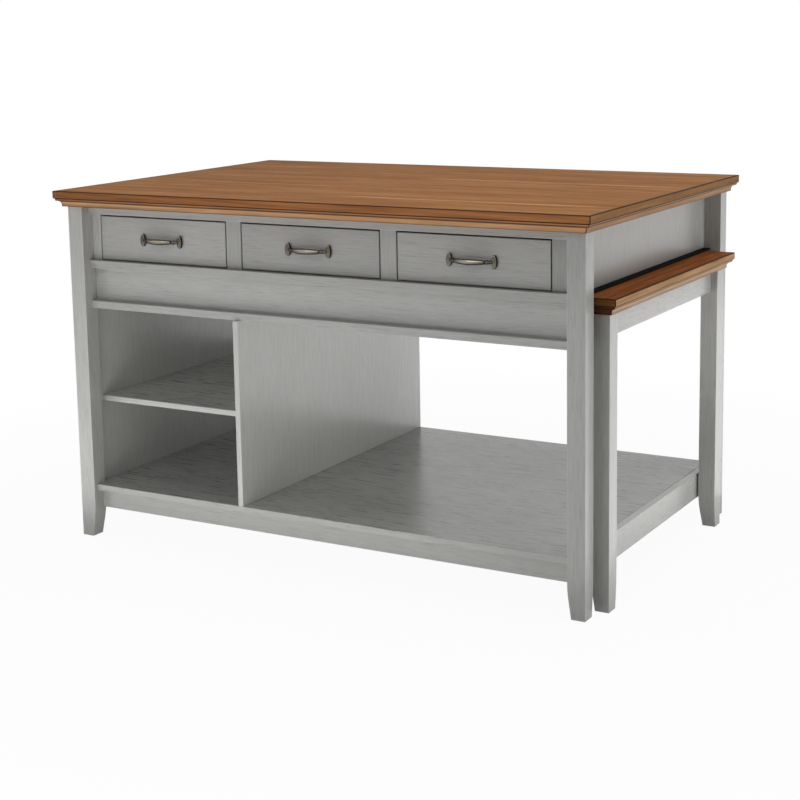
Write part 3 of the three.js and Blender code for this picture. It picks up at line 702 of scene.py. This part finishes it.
def finishNode(name, dice):
    low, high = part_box(name)
    grain = grainOf(name)
    slot = finishOf[name]
    if slot == "brown_stain":
        look = tableLook if "table" in name else worktopLook
        made = stainedWood(name, low, high, grain, look, dice)
    elif slot == "bare_birch":
        made = bareWood(name, low, high, grain, birchLook, dice)
    elif slot == "dark_pewter":
        made = agedPewter(name, pewterLook, dice)
    elif slot == "black_nylon":
        made = mouldedNylon(name, nylonLook)
    else:
        made = brushedPaint(name, low, high, grain, lookOf.get(name, paintLook), dice)
    setMaterial(nodes[name], made)


dice = random.Random(41)
for nodeName in sorted(nodes):
    finishNode(nodeName, dice)
print("finishes on", len(nodes), "nodes")


# the coved mouldings under the two tops
mouldingLook = {
    "height": 20.5 * mm, "step": 3.5 * mm, "lip": 5.5 * mm, "lipSlope": 1.2 * mm,
    "lipRound": 0.8 * mm, "quirk": 0.9 * mm, "footRound": 1.0 * mm, "roundSteps": 5,
    "coveDepth": 12.5 * mm, "coveHeight": 11 * mm, "coveSteps": 20,
    # dark lines: the point that each belongs to, how far past it, half width and share; the two at
    # the quirk paint the shade under the lip as well as glaze
    "glazeAndShade": (("joint", 0.0, 1.3 * mm, 0.9), ("quirk", -1.7 * mm, 2.3 * mm, 0.72),
              ("quirk", 4.2 * mm, 4.6 * mm, 0.95), ("foot", 0.0, 1.8 * mm, 0.85)),
}
mouldingPlans = {
    "worktop_moulding": {"slab": "worktop_slab", "width": 84 * mm, "leftCoved": True},
    "table_moulding": {"slab": "table_slab", "width": 63 * mm, "leftCoved": False},
}


def mouldingSection(look, width):
    # inset from the slab's edge and height: a leaning lip with a rounded arris, a small quirk, a
    # quarter of a hollow ellipse, a rounded foot, then square behind; marks are the points that take
    # a dark glaze and the painted shade under the lip
    turn = np.linspace(0, math.pi / 2, look["roundSteps"])
    top, lipFoot = look["height"], look["height"] - look["lip"]
    lean, round0, quirk = look["step"] + look["lipSlope"], look["lipRound"], look["quirk"]
    lip = np.stack([lean + round0 * (1 - np.cos(turn)),
                    lipFoot + round0 * (1 - np.sin(turn))], axis=1)
    coveStart = lean + round0 + quirk
    coveEnd = look["step"] + look["coveDepth"]
    angle = np.linspace(math.pi / 2, 0, look["coveSteps"])
    cove = np.stack([coveStart + (coveEnd - coveStart) * np.cos(angle),
                     lipFoot - look["coveHeight"] * (1 - np.sin(angle))], axis=1)
    round1 = look["footRound"]
    foot = np.stack([coveEnd + round1 * (1 - np.cos(turn)), round1 * (1 - np.sin(turn))], axis=1)
    end = look["step"] + width
    section = np.concatenate([[[look["step"], top]], lip, cove, foot, [[end, 0], [end, top]]])
    quirkAt = 1 + len(lip)
    # the foot's mark is well into its round
    marks = {"joint": 0, "quirk": quirkAt, "foot": quirkAt + len(cove) + 3}
    return section, marks


def mouldingFrame(name, plan):
    # the section carried round the slab's rectangle with mitred corners; its UV is in metres
    slabLow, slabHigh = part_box(plan["slab"])
    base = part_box(name)[0].z
    section, marks = mouldingSection(mouldingLook, plan["width"])
    inset, height = section[:, 0], section[:, 1] + base
    x0, x1, y0, y1 = slabLow.x, slabHigh.x, slabLow.y, slabHigh.y
    loop = plan["leftCoved"]
    startX = x0 + inset if loop else np.full_like(inset, x0)
    corners = [(startX, y0 + inset), (x1 - inset, y0 + inset),
               (x1 - inset, y1 - inset), (startX, y1 - inset)]
    grid = np.stack([np.stack([x, y, height], axis=1) for x, y in corners])
    piece = makePiece(name + "_cove", [shell(grid, loop)])
    run = layRunUv(piece, section, len(inset))
    at = {key: float(run[mark]) for key, mark in marks.items()}
    glazeAndShade = [(at[key] + past, half, share) for key, past, half, share in mouldingLook["glazeAndShade"]]
    return piece, {"glazeAndShade": glazeAndShade, "hollow": (at["quirk"], at["foot"]),
                   "outline": (slabLow, slabHigh)}


def layRunUv(piece, section, columns):
    # U runs along the side that a face is on, and V is the distance round the section from its lip;
    # sides along Y are shifted, so that they don't repeat the pattern of those along X
    mesh = piece.data
    steps = np.linalg.norm(np.diff(section, axis=0, append=section[:1]), axis=1)
    run = np.concatenate([[0], np.cumsum(steps)])
    corner = np.zeros(len(mesh.loops), int)
    mesh.loops.foreach_get("vertex_index", corner)
    points = np.zeros(len(mesh.vertices) * 3)
    mesh.vertices.foreach_get("co", points)
    points = points.reshape(-1, 3)[corner]
    faceOf = np.repeat(np.arange(len(mesh.polygons)), [p.loop_total for p in mesh.polygons])
    column = corner % columns
    columnLow = np.full(len(mesh.polygons), columns)
    np.minimum.at(columnLow, faceOf, column)
    columnHigh = np.zeros(len(mesh.polygons), int)
    np.maximum.at(columnHigh, faceOf, column)
    wraps = (columnLow == 0) & (columnHigh == columns - 1)
    across = run[np.where(wraps[faceOf] & (column == 0), columns, column)]
    spans = []
    for axis in (0, 1):
        low, high = (np.full(len(mesh.polygons), end) for end in (np.inf, -np.inf))
        np.minimum.at(low, faceOf, points[:, axis])
        np.maximum.at(high, faceOf, points[:, axis])
        spans.append(high - low)
    sideShift = 3.0
    along = np.where((spans[0] >= spans[1])[faceOf], points[:, 0], points[:, 1] + sideShift)
    layer = mesh.uv_layers.new(name="run")
    layer.data.foreach_set("uv", np.stack([along, across], axis=1).ravel())
    return run


for nodeName, plan in mouldingPlans.items():
    cove, profile = mouldingFrame(nodeName, plan)
    look = stainLook if plan["leftCoved"] else tableMouldingLook
    setMaterial(cove, stainedWood(nodeName, None, None, "X", look, dice, profile))
    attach(cove, "side_table" if nodeName.startswith("table") else "island")
    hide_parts(nodeName)
print("mouldings made")


# a black strip under the right upper panel, which stands in for the shade in the slot there
shadowGapLook = {
    "outward": 18.0 * mm, "inward": 0.5 * mm,   # past the panel's outer face, short of its inner one
    "low": 0.3 * mm, "high": 0.2 * mm,          # clear of the slab below and of the panel above
    "front": 8.5 * mm, "back": 0.5 * mm,        # past the panel's front edge, short of its back one
    "rings": 240, "lipSteps": 9,
    "ripple": ((0.30 * mm, 700, 0), (0.20 * mm, 1730, 1)),      # height, radians in a metre, start
}


def shadowGapStrip(look):
    # a low black strip that stands in for the shade in the slot over the sliding leaf: a flat
    # section with a rounded outer lip whose edge ripples as a sum of two sines along Y
    panelLow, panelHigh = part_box("side_panel_right")
    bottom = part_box("table_slab")[1].z + look["low"]
    top = panelLow.z - look["high"]
    half = (top - bottom) / 2
    turn = np.linspace(-math.pi / 2, math.pi / 2, look["lipSteps"])[None, :]
    y = np.linspace(panelLow.y - look["front"], panelHigh.y - look["back"], look["rings"])[:, None]
    ripple = sum(height * np.sin(y * waves + start) for height, waves, start in look["ripple"])
    lipX = panelHigh.x + look["outward"] - half + ripple + half * np.cos(turn)
    lipZ = (top + bottom) / 2 + half * np.sin(turn) + 0 * y
    back = panelLow.x + look["inward"] + 0 * y
    x = np.concatenate([back, lipX, back], axis=1)
    z = np.concatenate([bottom + 0 * y, lipZ, top + 0 * y], axis=1)
    return makePiece("leaf_shadow_gap_strip", [shell(np.stack([x, y + 0 * x, z], axis=-1))])


strip = shadowGapStrip(shadowGapLook)
setMaterial(strip, mouldedNylon("leaf_shadow_gap_strip", shadowGapNylon))
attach(strip, "island")
print("shadow gap strip made")


# the drawers' bow pulls
pullLook = {
    "span": 113.5 * mm, "plateWidth": 14.5 * mm, "plateHeight": 30.5 * mm, "plateThickness": 8 * mm,
    "rise": 16.7 * mm, "start": 4 * mm, "neck": 3.7 * mm, "belly": 7.3 * mm,
    "studRadius": 2 * mm, "studLength": 18 * mm, "nutRadius": 4 * mm, "nutThickness": 3 * mm,
    "studOverlap": 1 * mm,
    "plateRim": 1.4 * mm, "plateDome": 0.7 * mm, "plateBack": (0.8 * mm, 0.4 * mm),
    # place and width, in shares of the bar's half length, of the collar and of the waist beside it
    "barShare": 0.93, "collar": (0.74, 0.035), "waist": (0.66, 0.03), "collarRise": 0.9 * mm,
    # how pale each ring of a plate is, 2 of its side, 7 of its arris and 9 of its crown, with the
    # side kept dark as painted shade, and how much painted highlight is added where it looks up
    "plateRubAndShade": [0.0] * 2 + [0.05, 0.05, 0.1, 0.2, 0.4, 0.45, 0.4] + [0.38] * 9,
    "plateHighlight": [0.0] * 2 + [0.0, 0.0, 0.1, 0.35, 0.5, 0.4, 0.2] + [0.0] * 9,
    # least rubbing of the bar and the painted highlight added on it, the highlight's share at the
    # ends, and where it is brightest: degrees up from the front
    "barRubAndHighlight": (0.08, 0.85), "highlightAtEnds": 0.45, "highlightTurn": 35,
}


def ringsAlongY(x, z, stations, sides=48):
    # rings in X and Z at each (y, half width, half height), joined into one closed shell
    angle = np.linspace(0, 2 * math.pi, sides, endpoint=False)
    y, wide, high = (np.array(column)[:, None] for column in zip(*stations))
    grid = np.stack([x + wide * np.cos(angle), y + 0 * angle, z + high * np.sin(angle)], axis=-1)
    return shell(grid), np.broadcast_to(np.sin(angle), (len(stations), sides))


def plateShell(look, x, z, face):
    # an oval button: straight side, a rounded arris, and a face domed as a shallow cosine; its rim
    # is painted dark as shade, the arris is rubbed pale, and a painted highlight is added where it
    # looks up
    wide, high, deep = look["plateWidth"] / 2, look["plateHeight"] / 2, look["plateThickness"]
    turn = np.linspace(0, math.pi / 2, 7)
    rim, dome = look["plateRim"], look["plateDome"]
    rise, inset = look["plateBack"]
    side = [(face, wide - inset, high - inset), (face - rise, wide, high)]
    arris = [(face - (deep - dome - rim) - rim * math.sin(t), wide - rim * (1 - math.cos(t)),
              high - rim * (1 - math.cos(t))) for t in turn]
    crown = [(face - deep + dome * (1 - math.cos(t * math.pi / 2)), (wide - rim) * t,
              (high - rim) * t) for t in np.linspace(0.92, 0.04, 9)]
    made, upward = ringsAlongY(x, z, side + arris + crown)
    rubAndLight, highlight = (np.array(look[key])[:, None] for key in ("plateRubAndShade", "plateHighlight"))
    return made, rubAndLight + highlight * np.clip(upward, 0, 1) ** 3


def barShell(look, x, z, face, rows=81, sides=32):
    # a round bar on a cosine bow; its radius swells from neck to belly as the cosine to the power
    # 1.5, with a bell-shaped collar and waist near each end; it is lightly rubbed, with a painted
    # highlight where it bulges forward and up
    half = look["span"] / 2
    t = np.linspace(-1, 1, rows)[:, None] * look["barShare"]
    swell = np.cos(t * math.pi / 2)
    radius = look["neck"] + (look["belly"] - look["neck"]) * swell ** 1.5
    collar, waist = (look["collarRise"] * np.exp(-((np.abs(t) - at) / width) ** 2)
                     for at, width in (look["collar"], look["waist"]))
    radius = radius + collar - waist
    slope = np.arctan2(look["rise"] * math.pi / 2 * np.sin(t * math.pi / 2), half)
    centreY = face - look["start"] - look["rise"] * swell
    angle = np.linspace(0, 2 * math.pi, sides, endpoint=False)[None, :]
    outward = radius * np.cos(angle)
    grid = np.stack([x + t * half + outward * np.sin(slope), centreY - outward * np.cos(slope),
                     z + radius * np.sin(angle)], axis=-1)
    facing = np.clip(np.cos(angle - math.radians(look["highlightTurn"])), 0, 1)
    groove = 1 - np.clip(waist / look["collarRise"], 0, 1)
    least, further = look["barRubAndHighlight"]
    rubAndLight = least + further * facing ** 2 * np.clip(swell, look["highlightAtEnds"], 1)
    return shell(grid), rubAndLight * groove


def rodShell(x, z, y0, y1, radius, sides=16):
    # a plain round rod along Y with a small chamfer at each end
    chamfer = 0.3 * mm
    slim = radius - chamfer
    return ringsAlongY(x, z, [(y0, slim, slim), (y0 + chamfer, radius, radius),
                              (y1 - chamfer, radius, radius), (y1, slim, slim)], sides)


def bowPull(index, look):
    name = f"drawer_{index}_pull"
    low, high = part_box(name)
    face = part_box(f"drawer_{index}_front")[0].y
    x, z = (low.x + high.x) / 2, high.z - look["plateHeight"] / 2
    made = [barShell(look, x, z, face)]
    inside = face + look["studLength"]
    for side in (-1, 1):
        postX = x + side * look["span"] / 2
        made += [plateShell(look, postX, z, face),
                 rodShell(postX, z, face - look["studOverlap"], inside + look["studOverlap"],
                          look["studRadius"]),
                 rodShell(postX, z, inside, inside + look["nutThickness"], look["nutRadius"])]
    piece = makePiece(f"bow_pull_{index}", [part for part, wornAndLit in made], smooth=True,
                      rubbedAndLit=[wornAndLit for part, wornAndLit in made])
    setMaterial(piece, agedPewter(name, pewterLook, dice))
    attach(piece, f"drawer_{index}")
    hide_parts(name)


for index in (1, 2, 3):
    bowPull(index, pullLook)
print("pulls made")
